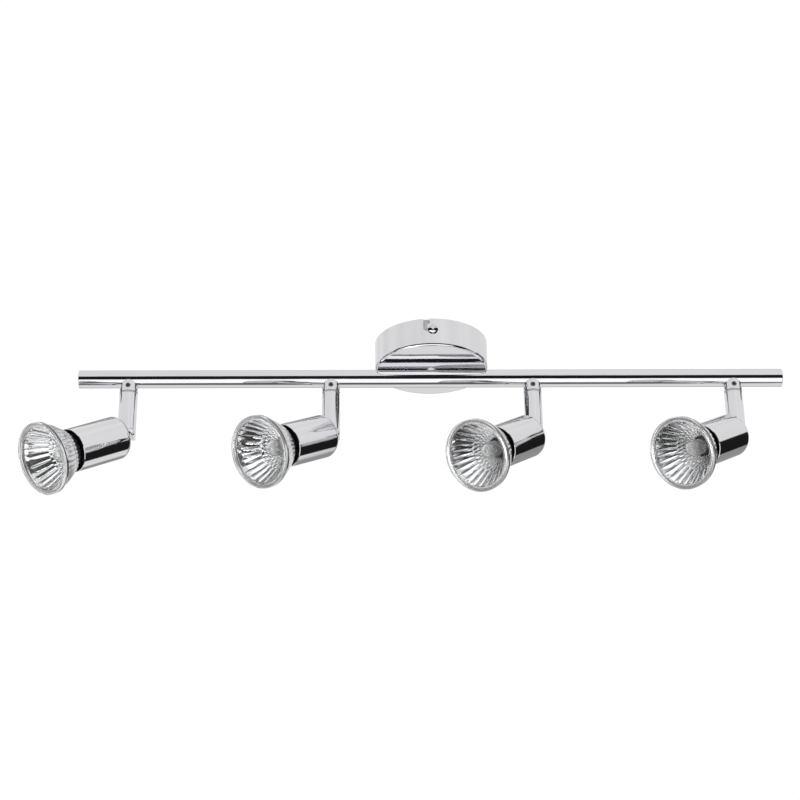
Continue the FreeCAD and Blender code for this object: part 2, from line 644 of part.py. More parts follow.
def lamp_glass():
    back = BASE_FRONT + REFLECTOR_L
    edge = GLASS_EDGE_R
    outer = LAMP_D / 2
    pane = outer - GLASS_RING_W
    return turned((0, back), (outer, back), (outer, LAMP_FRONT - edge),
                  (corner(outer - edge, LAMP_FRONT - edge, edge, 45), (outer - edge, LAMP_FRONT)),
                  (pane + edge, LAMP_FRONT), (pane, LAMP_FRONT - GLASS_RECESS),
                  (0, LAMP_FRONT - GLASS_RECESS))


def lamp_capsule():
    stem_r = CAPSULE_STEM_D / 2
    bulb_r = CAPSULE_D / 2
    back = BASE_FRONT - REFLECTOR_NECK_L
    shoulder = back + CAPSULE_STEM_L
    tip = back + CAPSULE_L
    return turned((0, back), (stem_r, back), (stem_r, shoulder), (bulb_r, shoulder + bulb_r - stem_r),
                  (bulb_r, tip - bulb_r), (corner(0, tip - bulb_r, bulb_r, 45), (0, tip)))


# ---- placing ------------------------------------------------------------------
def pivot_point(index):
    return V(spot_x(index), 0, BAR_Z - PIVOT_DROP)


def place_arm_piece(shape, index):
    turned_shape = shape.rotated(ORIGIN, Z_AXIS, SPOT_SWIVEL[index])
    return turned_shape.translated(pivot_point(index))


def place_head_piece(shape, index):
    return place_arm_piece(shape.rotated(ORIGIN, X_AXIS, 90 + SPOT_TILT[index]), index)


def main():
    os.makedirs("parts", exist_ok=True)
    fixed = {
        "canopy": canopy, "ceiling_bracket": ceiling_bracket, "canopy_screws": canopy_screws,
        "terminal_block": terminal_block, "terminal_screws": terminal_screws,
        "bar_tube": bar_tube, "bar_end_caps": bar_end_caps, "bar_anchors": bar_anchors,
        "bar_screws": bar_screws, "wire_bush": wire_bush, "supply_leads": supply_leads}
    for node, make in fixed.items():
        export(make(), node)
    on_the_bar = {
        "swivel_collars": swivel_collar, "collar_grub_screws": grub_screw,
        "swivel_studs": swivel_stud, "swivel_washers": swivel_washer, "swivel_nuts": swivel_nut}
    for node, make in on_the_bar.items():
        export(at_spots(make()), node)
    arm_pieces = {"arm": arm, "arm_bush": arm_bush, "pivot_screw": pivot_screw}
    head_pieces = {
        "knuckle": knuckle, "head_cup": head_cup, "lampholder": lampholder, "lamp_pins": lamp_pins,
        "lamp_base": lamp_base, "lamp_reflector": lamp_reflector, "lamp_glass": lamp_glass,
        "lamp_capsule": lamp_capsule}
    for pieces, place in ((arm_pieces, place_arm_piece), (head_pieces, place_head_piece)):
        for name, make in pieces.items():
            shape = make()
            for index in range(SPOT_COUNT):
                export(place(shape, index), "%s_%d" % (name, index + 1))


main()
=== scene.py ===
"""Looks of the four-spot ceiling bar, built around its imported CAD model.  Metres, +Z up, ceiling at z = 0."""
import json
import math

import bpy
from bpy.props import FloatProperty, FloatVectorProperty, IntProperty, PointerProperty
from mathutils import Matrix, Vector

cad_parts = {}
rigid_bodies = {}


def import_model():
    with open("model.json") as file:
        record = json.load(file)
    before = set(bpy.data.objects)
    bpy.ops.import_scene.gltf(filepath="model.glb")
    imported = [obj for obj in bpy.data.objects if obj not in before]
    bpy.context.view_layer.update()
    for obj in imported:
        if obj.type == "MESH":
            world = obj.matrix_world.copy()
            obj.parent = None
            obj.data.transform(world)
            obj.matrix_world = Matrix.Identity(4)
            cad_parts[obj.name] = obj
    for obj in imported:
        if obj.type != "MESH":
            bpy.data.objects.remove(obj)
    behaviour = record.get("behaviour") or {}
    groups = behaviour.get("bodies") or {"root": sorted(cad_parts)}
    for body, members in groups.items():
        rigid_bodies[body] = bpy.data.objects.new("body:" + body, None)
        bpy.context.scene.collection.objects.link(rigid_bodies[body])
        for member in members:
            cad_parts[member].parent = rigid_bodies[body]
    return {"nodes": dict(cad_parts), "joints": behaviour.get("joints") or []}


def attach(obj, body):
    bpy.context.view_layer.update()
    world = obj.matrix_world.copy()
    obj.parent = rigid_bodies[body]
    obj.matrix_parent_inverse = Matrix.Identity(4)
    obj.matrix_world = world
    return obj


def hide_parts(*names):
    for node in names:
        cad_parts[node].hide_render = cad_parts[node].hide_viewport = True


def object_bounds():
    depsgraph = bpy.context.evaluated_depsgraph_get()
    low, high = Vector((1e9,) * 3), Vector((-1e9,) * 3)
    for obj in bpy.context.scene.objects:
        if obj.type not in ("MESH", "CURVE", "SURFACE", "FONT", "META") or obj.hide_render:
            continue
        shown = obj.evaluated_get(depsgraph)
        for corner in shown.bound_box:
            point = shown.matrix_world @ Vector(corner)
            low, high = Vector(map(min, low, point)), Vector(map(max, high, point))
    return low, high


bl_info = {
    "name": "Ceiling Spotlight Bar",
    "version": (1, 0, 0),
    "blender": (4, 5, 0),
    "location": "3D View > Sidebar > Spotlight Bar",
    "description": "Finishes and detailed lamps for a four-spot chrome ceiling bar",
    "category": "Object",
}

for leftover in list(bpy.data.objects):
    bpy.data.objects.remove(leftover)
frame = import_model()
CAD_BOX = [list(corner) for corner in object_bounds()]

MM = 0.001
FULL_TURN = 2 * math.pi


# ---- where each spot is ------------------------------------------------------
class Spot:
    """One head: its number, its bodies and its own frame, whose Z runs out through the lamp."""

    def __init__(self, number):
        joints = {joint["name"]: joint for joint in frame["joints"]}
        tilt = joints["tilt_%d" % number]
        twist = joints["lamp_twist_%d" % number]
        self.number = number
        self.arm = "arm_body_%d" % number
        self.head = "head_body_%d" % number
        self.lamp = "lamp_body_%d" % number
        self.pivot = Vector(tilt["pos_m"])
        self.out = Vector(twist["axis"]).normalized()
        across = Vector(tilt["axis"]).normalized()
        turned = Matrix((across, self.out.cross(across), self.out)).transposed()
        self.place = Matrix.Translation(self.pivot) @ turned.to_4x4()

    def node(self, name):
        return "%s_%d" % (name, self.number)

    def extent(self, name):
        """Back, front and radius of one of its CAD nodes, measured along its own Z."""
        back_to_own = self.place.inverted()
        points = [back_to_own @ vertex.co for vertex in frame["nodes"][self.node(name)].data.vertices]
        depths = [point.z for point in points]
        return min(depths), max(depths), max(point.xy.length for point in points)


SPOTS = [Spot(number) for number in range(1, 5)]


# ---- what a user would change --------------------------------------------------
def length(name, description, default):
    return FloatProperty(name=name, description=description, default=default, unit="LENGTH", precision=5)


def colour(name, description, default):
    return FloatVectorProperty(name=name, description=description, default=default, subtype="COLOR",
                               min=0.0, max=1.0)


def share(name, description, default):
    return FloatProperty(name=name, description=description, default=default, min=0.0, max=1.0)


def angle(name, description, degrees):
    return FloatProperty(name=name, description=description, default=math.radians(degrees), subtype="ANGLE")


class LampSizes(bpy.types.PropertyGroup):
    flutes: IntProperty(name="Flutes", description="Flutes round the inside of the reflector", default=32)
    ribs: IntProperty(name="Ribs", description="Ribs round the outside of the reflector", default=36)
    flute_depth: length("Flute depth", "Rise of each flute at the rim", 0.42 * MM)
    facet_depth: length("Facet depth", "Rise of each short facet along the bowl", 0.12 * MM)
    rib_depth: length("Rib depth", "Depth of the grooves between the outer ribs", 0.55 * MM)
    wall: length("Reflector wall", "Thickness of the pressed glass", 1.6 * MM)
    back: length("Bowl back", "Radius of the bowl where it meets the base", 9.0 * MM)
    neck: length("Neck", "Radius of the neck inside the base", 8.3 * MM)
    rim: length("Rim depth", "Height of the band round the front of the bowl", 1.5 * MM)
    rim_step: length("Rim step", "How far the rim band stands out from the bowl", 0.4 * MM)
    seam: length("Seam", "Height of the cement seam behind the front glass", 0.8 * MM)
    seam_edge: length("Seam edge", "Cut corner of the seam", 0.3 * MM)
    bowl_out: share("Bowl bulge outward", "Middle of the bowl's curve, as a share of the way out", 0.58)
    bowl_along: share("Bowl bulge forward", "Middle of the bowl's curve, as a share of the way forward", 0.47)
    ring: length("Glass ring", "Width of the thick ring round the front glass", 3.2 * MM)
    recess: length("Glass recess", "How far the pane's edge lies behind the front of its ring", 0.7 * MM)
    dome: length("Glass dome", "Rise of the pane in its middle", 0.5 * MM)
    edge: length("Glass edge", "Radius of the ring's edges", 0.7 * MM)
    quartz: length("Quartz wall", "Wall of the halogen capsule", 0.8 * MM)
    foot: share("Capsule foot", "Radius of the pinched foot, as a share of the capsule's", 0.73)
    foot_along: share("Foot length", "Length of the pinched foot, as a share of the capsule's", 0.4)
    pinch: share("Pinch", "How flat the foot is pressed", 0.55)
    nipple: share("Nipple", "Radius of the nipple on the tip, as a share of the capsule's", 0.12)
    nipple_rise: length("Nipple rise", "How far the nipple stands out of the tip", 0.9 * MM)
    coil: length("Filament coil", "Radius of the filament's coil", 0.9 * MM)
    coil_low: share("Coil start", "Start of the coil, as a share of the way along the capsule", 0.5)
    coil_high: share("Coil end", "End of the coil, as a share of the way along the capsule", 0.68)
    legs: share("Legs", "Filament leg from the axis, as a share of the capsule's radius", 0.45)
    leg: length("Leg wire", "Radius of the wire of the filament's legs", 0.182 * MM)
    wire: length("Filament wire", "Radius of the filament's wire", 0.13 * MM)
    coil_turns: IntProperty(name="Filament turns", description="Turns in the filament's coil", default=14)


class Finishes(bpy.types.PropertyGroup):
    chrome: colour("Chrome", "Plated steel", (0.865, 0.855, 0.885))
    haze: share("Chrome haze", "Roughness of the plating", 0.035)
    cup_black: colour("Cup inside", "Heat-proof black inside the cups", (0.004, 0.004, 0.0045))
    zinc: colour("Zinc", "Zinc-plated steel", (0.7, 0.71, 0.73))
    black_steel: colour("Black steel", "Blackened grub screws", (0.2, 0.2, 0.21))
    brass: colour("Brass", "Studs, nuts and terminals", (0.72, 0.54, 0.24))
    nylon: colour("Nylon", "Terminal block and bush", (0.86, 0.85, 0.8))
    sleeve: colour("Sleeve", "Silicone and glass-fibre sleeves of the leads", (0.84, 0.83, 0.79))
    steatite: colour("Steatite", "Lampholder ceramic", (0.8, 0.77, 0.7))
    ceramic: colour("Lamp ceramic", "Base of the lamp", (0.02, 0.02, 0.021))
    nickel: colour("Nickel", "Lamp pins", (0.66, 0.64, 0.6))
    mirror: colour("Mirror", "Coating inside the reflector", (0.975, 0.98, 0.99))
    mirror_back: colour("Mirror back", "Coating seen through the ribbed glass", (0.84, 0.84, 0.86))
    cement: colour("Cement", "Dark seam between the bowl and its front glass", (0.05, 0.05, 0.055))
    glass: colour("Glass", "Front glass and capsule", (0.985, 0.99, 0.99))
    tungsten: colour("Tungsten", "Filament and its wires", (0.32, 0.31, 0.3))


class Studio(bpy.types.PropertyGroup):
    camera: FloatVectorProperty(name="Camera", description="Place of the camera", subtype="TRANSLATION",
                                default=(-0.0505, -1.2168, -0.6168))
    heading: angle("Heading", "Camera turned to the right of straight ahead", 1.31)
    pitch: angle("Pitch", "Camera tilted up", 25.2)
    roll: angle("Roll", "Camera rolled about its own line of sight", -0.71)
    lens: FloatProperty(name="Lens", description="Focal length in millimetres", default=85.5)
    floor_drop: length("Floor drop", "Floor below the ceiling", 1.7)
    floor: colour("Floor", "Plain pale floor", (0.86, 0.86, 0.86))


# ---- shader arithmetic ----------------------------------------------------------
class Value:
    """A number in a node tree.  Arithmetic on it adds the Math nodes."""

    def __init__(self, nodes, socket):
        self.nodes = nodes
        self.socket = socket

    def math(self, operation, *others):
        inputs = {index: other for index, other in enumerate((self, *others))}
        return self.nodes.add("ShaderNodeMath", {"operation": operation}, inputs)

    def __add__(self, other):
        return self.math("ADD", other)

    def __radd__(self, other):
        return self.math("ADD", other)

    def __sub__(self, other):
        return self.math("SUBTRACT", other)

    def __rsub__(self, other):
        return self.nodes.number(other).math("SUBTRACT", self)

    def __mul__(self, other):
        return self.math("MULTIPLY", other)

    def __rmul__(self, other):
        return self.math("MULTIPLY", other)

    def __gt__(self, other):
        return self.math("GREATER_THAN", other)

    def __lt__(self, other):
        return self.math("LESS_THAN", other)

    def __abs__(self):
        return self.math("ABSOLUTE")


class Constant(Value):
    """A plain number that can stand on the left of a Math node."""

    def math(self, operation, *others):
        inputs = {index: other for index, other in enumerate((self.socket, *others))}
        return self.nodes.add("ShaderNodeMath", {"operation": operation}, inputs)


class Nodes:
    """A node tree being filled."""

    def __init__(self, tree):
        self.tree = tree
        tree.nodes.clear()

    def number(self, value):
        return Constant(self, value)

    def add(self, kind, settings=None, sockets=None, output=0):
        """Adds a node: settings first, then the values or links of its sockets."""
        node = self.tree.nodes.new(kind)
        for name, setting in (settings or {}).items():
            setattr(node, name, setting)
        for name, value in (sockets or {}).items():
            socket = node.inputs[name]
            if isinstance(value, Value) and not isinstance(value, Constant):
                self.tree.links.new(value.socket, socket)
            else:
                socket.default_value = value
        return Value(self, node.outputs[output]) if len(node.outputs) else node

    def vector(self, operation, *inputs, output=0):
        sockets = {index: value for index, value in enumerate(inputs)}
        return self.add("ShaderNodeVectorMath", {"operation": operation}, sockets, output)

    def blend(self, factor, first, second):
        """Colour between two colours.  The node's colours are its sockets 6 and 7, and its output 2."""
        settings = {"data_type": "RGBA"}
        return self.add("ShaderNodeMix", settings, {0: factor, 6: opaque(first), 7: opaque(second)}, 2)

    def split(self, vector):
        """The three parts of a vector."""
        parts = self.add("ShaderNodeSeparateXYZ", sockets={0: vector}).socket.node.outputs
        return [Value(self, part) for part in parts]

    def place(self):
        """The point being shaded, in the piece's own frame."""
        return self.add("ShaderNodeTexCoord", output="Object")

    def noise(self, point, scale, detail, roughness=0.5):
        """Noise from 0 to 1 with this many features in a metre."""
        sockets = {"Vector": point, "Scale": scale, "Detail": detail, "Roughness": roughness}
        return self.add("ShaderNodeTexNoise", {"noise_dimensions": "3D"}, sockets, "Fac")

    def cells(self, point, scale):
        """Distance from the nearest of scattered points, in cells."""
        sockets = {"Vector": point, "Scale": scale}
        return self.add("ShaderNodeTexVoronoi", {"feature": "F1"}, sockets, "Distance")

    def stretch(self, point, factors):
        return self.vector("MULTIPLY", point, factors)

    def ease(self, value, low, high):
        """0 below low, 1 above high, smooth between."""
        settings = {"interpolation_type": "SMOOTHSTEP"}
        sockets = {"Value": value, "From Min": low, "From Max": high, "To Min": 0.0, "To Max": 1.0}
        return self.add("ShaderNodeMapRange", settings, sockets)

    def band(self, value, low, high, soft):
        """1 between low and high, 0 outside, with soft edges."""
        return self.ease(value, low - soft, low + soft) * (1 - self.ease(value, high - soft, high + soft))

    def grooves(self, point, count, width):
        """1 in narrow lines at equal angles about Z, 0 between them."""
        x, y, _ = self.split(point)
        turns = y.math("ARCTAN2", x) * (count / FULL_TURN)
        beside = turns.math("PINGPONG", 0.5)
        return 1 - self.ease(beside, 0.2 * width, width)

    def bump(self, height, distance):
        return self.add("ShaderNodeBump", sockets={"Height": height, "Distance": distance})

    def surface(self, **values):
        """Principled surface.  Its sockets are named in words joined by underscores."""
        sockets = {name.replace("_", " "): value for name, value in values.items()}
        sockets["Base Color"] = opaque(sockets["Base Color"])
        shader = self.add("ShaderNodeBsdfPrincipled", sockets=sockets)
        self.add("ShaderNodeOutputMaterial", sockets={"Surface": shader})
        return shader


def opaque(value):
    """A colour with full alpha, or a link as it is."""
    if isinstance(value, Value):
        return value
    return (*tuple(value)[:3], 1.0)


def scaled(value, factor):
    return tuple(channel * factor for channel in value)


def finish(name):
    """An empty node material and its tree."""
    material = bpy.data.materials.new(name)
    material.use_nodes = True
    return material, Nodes(material.node_tree)


# ---- finishes ----------------------------------------------------------------------
EVEN = (1.0, 1.0, 1.0)
METAL_MOTTLE = 0.12     # how much lighter the clouds in plain metal are, and half of how much darker
NOISE_MIDDLE = 0.5
CUP_SHADE_FULL = 4.5 * MM   # ahead of the lamp's base: painted shade makes the bowl's back fully dark up to here, where the cup's mouth shadows it
CUP_SHADE_CLEAR = 9.5 * MM  # and clear from here


def plating(nodes, point, looks, along=EVEN):
    """Colour, roughness and bump of bright chrome over drawn or spun steel."""
    clouds = nodes.noise(point, scale=38.0, detail=3.0)
    hairlines = nodes.noise(nodes.stretch(point, along), scale=900.0, detail=3.0, roughness=0.6)
    specks = 1 - nodes.ease(nodes.cells(point, scale=420.0), low=0.05, high=0.09)
    shade = nodes.blend(clouds, scaled(looks.chrome, 0.95), looks.chrome)
    wiped = nodes.ease(clouds, low=0.45, high=0.8)
    rough = looks.haze + 0.05 * wiped + 0.025 * hairlines + 0.06 * specks
    ripple = nodes.noise(point, scale=55.0, detail=1.0)
    return shade, rough, nodes.bump(0.85 * ripple + 0.15 * hairlines, 0.06 * MM)


def chrome_finish(looks, name, along=EVEN):
    """Bright chrome; its hairlines run along the axis whose factor is small."""
    material, nodes = finish(name)
    shade, rough, normal = plating(nodes, nodes.place(), looks, along)
    nodes.surface(Base_Color=shade, Metallic=1.0, Roughness=rough, Normal=normal)
    return material


def cup_finish(looks, spot, inner_radius, back):
    """Chrome outside, heat-proof black inside: told apart by the distance from the head's own axis."""
    material, nodes = finish("cup_%d" % spot.number)
    point = nodes.place()
    shade, rough, normal = plating(nodes, point, looks)
    arm = nodes.vector("SUBTRACT", point, tuple(spot.pivot))
    depth = nodes.vector("DOT_PRODUCT", arm, tuple(spot.out), output="Value")
    radial = nodes.vector("LENGTH", nodes.vector("CROSS_PRODUCT", arm, tuple(spot.out)), output="Value")
    inside = (radial < inner_radius) * (depth > back)
    soot = nodes.noise(point, scale=700.0, detail=4.0, roughness=0.6)
    black = nodes.blend(soot, scaled(looks.cup_black, 0.6), scaled(looks.cup_black, 1.8))
    nodes.surface(Base_Color=nodes.blend(inside, shade, black), Metallic=1 - inside,
                  Roughness=rough + inside * (0.6 + 0.2 * soot), Specular_IOR_Level=0.25, Normal=normal)
    return material


def metal_finish(name, tint, rough, along=EVEN):
    """Plated, brushed or cut metal; its grain runs along the axis whose factor is small."""
    material, nodes = finish(name)
    point = nodes.place()
    clouds = nodes.noise(point, scale=260.0, detail=4.0, roughness=0.6)
    grain = nodes.noise(nodes.stretch(point, along), scale=1500.0, detail=3.0, roughness=0.6)
    shade = nodes.blend(clouds, scaled(tint, 1 - 2 * METAL_MOTTLE), scaled(tint, 1 + METAL_MOTTLE))
    nodes.surface(Base_Color=shade, Metallic=1.0, Roughness=rough + 0.12 * clouds + 0.1 * grain,
                  Normal=nodes.bump(grain, 0.02 * MM))
    return material


def moulded_finish(name, tint, rough, subsurface=0.0, mottle=0.05):
    """Moulded plastic or rubber with a faint orange peel."""
    material, nodes = finish(name)
    point = nodes.place()
    peel = nodes.noise(point, scale=1800.0, detail=2.0)
    clouds = nodes.noise(point, scale=120.0, detail=3.0)
    shade = nodes.blend(clouds, scaled(tint, 1.0 - mottle), tint)
    nodes.surface(Base_Color=shade, Roughness=rough + 0.12 * peel, Subsurface_Weight=subsurface,
                  Normal=nodes.bump(peel, 0.03 * MM))
    return material


def ceramic_finish(name, tint, rough):
    """Pressed ceramic: fine grains, a few darker specks and a dry surface."""
    material, nodes = finish(name)
    point = nodes.place()
    grain = nodes.noise(point, scale=2600.0, detail=4.0, roughness=0.65)
    clean = nodes.ease(nodes.cells(point, scale=900.0), low=0.06, high=0.14)
    shade = nodes.blend(grain, scaled(tint, 0.9), tint)
    shade = nodes.blend(clean, scaled(tint, 0.55), shade)
    nodes.surface(Base_Color=shade, Roughness=rough + 0.15 * grain, Normal=nodes.bump(grain, 0.04 * MM))
    return material


def mirror_finish(looks, flutes):
    """Vacuum-coated mirror on pressed glass: bright, with a faint bloom and a painted dark line between flutes
    that stands in for the shade and dark reflections in their creases.
    """
    material, nodes = finish("reflector_mirror_and_painted_crease_shade")
    point = nodes.place()
    bloom = nodes.noise(point, scale=160.0, detail=3.0)
    peel = nodes.noise(point, scale=700.0, detail=2.0)
    # painted shade: a dark line where the flutes meet, in place of the dark reflections in the creases
    between = nodes.grooves(point, flutes, width=0.07)
    shade = nodes.blend(bloom, scaled(looks.mirror, 0.94), looks.mirror)
    shade = nodes.blend(between, shade, scaled(looks.mirror, 0.12))
    nodes.surface(Base_Color=shade, Metallic=1.0, Roughness=0.005 + 0.01 * bloom,
                  Normal=nodes.bump(peel, 0.004 * MM))
    return material


def ribbed_glass_finish(looks, base_front):
    """The coating seen through the ribbed outside of the pressed glass, with painted shade near the base, where
    the cup shadows the bowl.
    """
    material, nodes = finish("ribbed_glass_with_painted_shade")
    point = nodes.place()
    streaks = nodes.noise(point, scale=420.0, detail=3.0, roughness=0.6)
    depth = nodes.split(point)[2] + 4 * MM * (streaks - NOISE_MIDDLE)
    # painted shade: the bowl darkens towards the lamp's base with a streaky edge, standing in for the cup's
    # shadow; the coat fades out there too
    painted_cup_shade = 1 - nodes.ease(depth, base_front + CUP_SHADE_FULL, base_front + CUP_SHADE_CLEAR)
    shade = nodes.blend(streaks, scaled(looks.mirror_back, 0.72), looks.mirror_back)
    painted_shade_tone = nodes.blend(streaks, scaled(looks.mirror_back, 0.03), scaled(looks.mirror_back, 0.3))
    shade = nodes.blend(painted_cup_shade, shade, painted_shade_tone)
    nodes.surface(Base_Color=shade, Metallic=0.9, Roughness=0.05 + 0.07 * streaks, Coat_Weight=1 - painted_cup_shade,
                  Coat_Roughness=0.03, Normal=nodes.bump(streaks, 0.05 * MM))
    return material


def glass_finish(looks, name, clear, rough):
    """Thick pressed glass or quartz: some light goes through, the rest is spread inside."""
    material, nodes = finish(name)
    point = nodes.place()
    cords = nodes.noise(point, scale=90.0, detail=2.0)
    dust = nodes.noise(point, scale=1300.0, detail=3.0)
    shade = nodes.blend(cords, scaled(looks.glass, 0.95), looks.glass)
    nodes.surface(Base_Color=shade, Roughness=rough + 0.02 * dust, IOR=1.5, Transmission_Weight=clear,
                  Normal=nodes.bump(cords, 0.12 * MM))
    return material


def pane_finish(looks):
    """Thin clear pane with a faint veil of dust; more mirror than window at a low angle."""
    material, nodes = finish("glass_pane")
    point = nodes.place()
    dust = nodes.noise(point, scale=60.0, detail=4.0, roughness=0.6)
    facing = nodes.add("ShaderNodeLayerWeight", sockets={"Blend": 0.5}, output="Facing")
    sheen = facing.math("POWER", 5.0)
    shade = nodes.blend(dust, scaled(looks.glass, 0.93), looks.glass)
    nodes.surface(Base_Color=shade, Metallic=0.5, Roughness=0.03 + 0.02 * dust,
                  Alpha=0.01 + 0.4 * sheen + 0.02 * dust)
    return material


# ---- mesh making ------------------------------------------------------------------
def make_piece(name, points, faces, materials, place, body, stands_for=(), shades=None, crease=30.0):
    """Makes a mesh piece, places it, and hangs it on its CAD body."""
    mesh = bpy.data.meshes.new(name)
    mesh.from_pydata(points, [], faces)
    for material in materials:
        mesh.materials.append(material)
    if shades:
        mesh.polygons.foreach_set("material_index", shades)
    mesh.polygons.foreach_set("use_smooth", [True] * len(faces))
    mesh.set_sharp_from_angle(angle=math.radians(crease))
    mesh.update()
    piece = bpy.data.objects.new(name, mesh)
    piece.matrix_world = place
    bpy.context.scene.collection.objects.link(piece)
    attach(piece, body)
    if stands_for:
        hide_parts(*stands_for)
    return piece


def turned_mesh(rows, segments, shape=None, first_point=0):
    """Surface turned about Z: its points, its faces and the row that each face starts from.

    Each row is (radius, z), and a row of radius 0 becomes one point.  shape(row, angle, radius, z) may
    move a point.
    """
    points = []
    rings = []
    for index, (radius, z) in enumerate(rows):
        if radius == 0:
            rings.append([first_point + len(points)] * segments)
            points.append((0.0, 0.0, z))
            continue
        rings.append([first_point + len(points) + step for step in range(segments)])
        for step in range(segments):
            turn = FULL_TURN * step / segments
            at_radius, at_z = shape(index, turn, radius, z) if shape else (radius, z)
            points.append((at_radius * math.cos(turn), at_radius * math.sin(turn), at_z))
    faces = []
    owners = []
    for index in range(len(rows) - 1):
        low, high = rings[index], rings[index + 1]
        for step in range(segments):
            ahead = (step + 1) % segments
            corners = [low[step], low[ahead], high[ahead], high[step]]
            faces.append([corner for place, corner in enumerate(corners) if corner != corners[place - 1]])
            owners.append(index)
    return points, faces, owners


def arc_rows(start, middle, end, count):
    """Points of the circular arc through three (radius, z) points, ends included."""
    (ax, ay), (bx, by), (cx, cy) = start, middle, end
    double = 2 * (ax * (by - cy) + bx * (cy - ay) + cx * (ay - by))
    a2, b2, c2 = (x * x + y * y for x, y in (start, middle, end))
    ox = (a2 * (by - cy) + b2 * (cy - ay) + c2 * (ay - by)) / double
    oy = (a2 * (cx - bx) + b2 * (ax - cx) + c2 * (bx - ax)) / double
    radius = math.hypot(ax - ox, ay - oy)
    first = math.atan2(ay - oy, ax - ox)
    last = math.atan2(cy - oy, cx - ox)
    sweep = math.remainder(last - first, FULL_TURN)
    turns = [first + sweep * step / (count - 1) for step in range(count)]
    return [(ox + radius * math.cos(turn), oy + radius * math.sin(turn)) for turn in turns]


def round_corner(centre, radius, first, last, count):
    """Points round a corner of a turned section, angles in degrees."""
    turns = [math.radians(first + (last - first) * step / (count - 1)) for step in range(count)]
    return [(centre[0] + radius * math.cos(turn), centre[1] + radius * math.sin(turn)) for turn in turns]


def tube_mesh(path, radius, first_point=0):
    """Round wire along a path of points."""
    sides = WIRE_SIDES
    points = []
    faces = []
    across = None
    for index, here in enumerate(path):
        ahead = path[min(index + 1, len(path) - 1)] - path[max(index - 1, 0)]
        ahead.normalize()
        if across is None:
            across = ahead.orthogonal()
        across = (across - ahead * across.dot(ahead)).normalized()
        other = ahead.cross(across)
        for side in range(sides):
            turn = FULL_TURN * side / sides
            points.append(here + radius * (math.cos(turn) * across + math.sin(turn) * other))
    for index in range(len(path) - 1):
        for side in range(sides):
            nearby = (side + 1) % sides
            low = first_point + index * sides
            faces.append([low + side, low + nearby, low + sides + nearby, low + sides + side])
    faces.append([first_point + side for side in reversed(range(sides))])
    faces.append([first_point + (len(path) - 1) * sides + side for side in range(sides)])
    return [tuple(point) for point in points], faces


def hump(share_along):
    """0 at both ends of a facet, 1 in its middle."""
    return 1 - (2 * share_along - 1) ** 2


# ---- pieces ---------------------------------------------------------------------------
FACET_RINGS = (0.0, 0.09, 0.18, 0.28, 0.4, 1.0)     # rings of facets inside the bowl, as shares of the way
RIB_RINGS = (0.0, 0.16, 0.34, 0.56, 1.0)            # rings of steps outside it
FLUTE_FADE = 1 / 12     # share of the bowl over which the flutes run out at the rim
RIB_FADE = 1 / 10
BOWL_ROWS = 72          # rows of the mesh inside the bowl
RIB_ROWS = 56           # and outside it
FLUTE_POINTS = 8        # points across each flute
FACET_CREASE = 24.0     # degrees between faces that make an edge of the pressed pattern
COATING, RIBBED, CEMENT = range(3)
RING, PANE = range(2)
GLASS_POINTS = 160      # points round a front glass
PANE_ROWS = 14
CAPSULE_POINTS = 64
FOOT_CREASE = 50.0
SHOULDER_MIDDLE = (0.3 * MM, 0.8 * MM)      # in from the capsule's side and up from its foot
SHOULDER_L = 2.2 * MM
CAVITY_SHOULDER_L = 2.4 * MM
NIPPLE_FROM = 82.0      # degrees round the tip
NIPPLE_EDGE = 0.3 * MM
PINCH_FADE = 2 * MM     # height over which the pressed foot turns round
BULB_ROWS = 14          # rows from the capsule's side to its tip
EDGE_ROWS = 6
COIL_POINTS = 18        # points in each turn of the filament
WIRE_SIDES = 8
LEG_START = 1.0 * MM    # above the back of the capsule
LEG_BEND = 0.8 * MM


def ring_of(rings, along):
    """Number of the ring that a share of the way along the bowl lies in, and how far through it."""
    for number in range(len(rings) - 1):
        if along <= rings[number + 1]:
            return number, (along - rings[number]) / (rings[number + 1] - rings[number])
    return len(rings) - 2, 1.0


class BowlShape:
    """The pressed pattern of a reflector: flutes and facets inside, ribs outside."""

    def __init__(self, sizes, inner_first, outer_first):
        self.sizes = sizes
        self.inner_first = inner_first
        self.outer_first = outer_first

    def __call__(self, row, turn, radius, z):
        inner = row - self.inner_first
        outer = row - self.outer_first
        if 0 <= inner < BOWL_ROWS:
            return self.flute(inner / (BOWL_ROWS - 1), turn, radius), z
        if 0 <= outer < RIB_ROWS:
            return self.rib(1 - outer / (RIB_ROWS - 1), turn, radius), z
        return radius, z

    def flute(self, along, turn, radius):
        """Radius inside: each ring of facets is half a flute out of step with the one before."""
        ring, through = ring_of(FACET_RINGS, along)
        across = (turn * self.sizes.flutes / FULL_TURN + 0.5 * (ring % 2)) % 1.0
        rise = self.sizes.flute_depth * (0.4 + 0.6 * along) * hump(across)
        if ring < len(FACET_RINGS) - 2:
            rise += self.sizes.facet_depth * hump(through)
        return radius - rise * self.fade(along, FLUTE_FADE)

    def rib(self, along, turn, radius):
        """Radius outside: grooves between the ribs, and steps in all rings but the last."""
        ring, through = ring_of(RIB_RINGS, along)
        across = (turn * self.sizes.ribs / FULL_TURN) % 1.0
        groove = self.sizes.rib_depth * (1 - hump(across))
        if ring < len(RIB_RINGS) - 2:
            groove += 0.5 * self.sizes.rib_depth * (1 - hump(through))
        return radius - groove * self.fade(along, RIB_FADE)

    def fade(self, along, reach):
        """1 over most of the bowl, falling to 0 at its rim."""
        return min(1.0, (1 - along) / reach)


def bowl_curve(start, end, sizes, count):
    """The bowl's section from its back to its rim."""
    middle_r = start[0] + (end[0] - start[0]) * sizes.bowl_out
    middle_z = start[1] + (end[1] - start[1]) * sizes.bowl_along
    return arc_rows(start, (middle_r, middle_z), end, count)


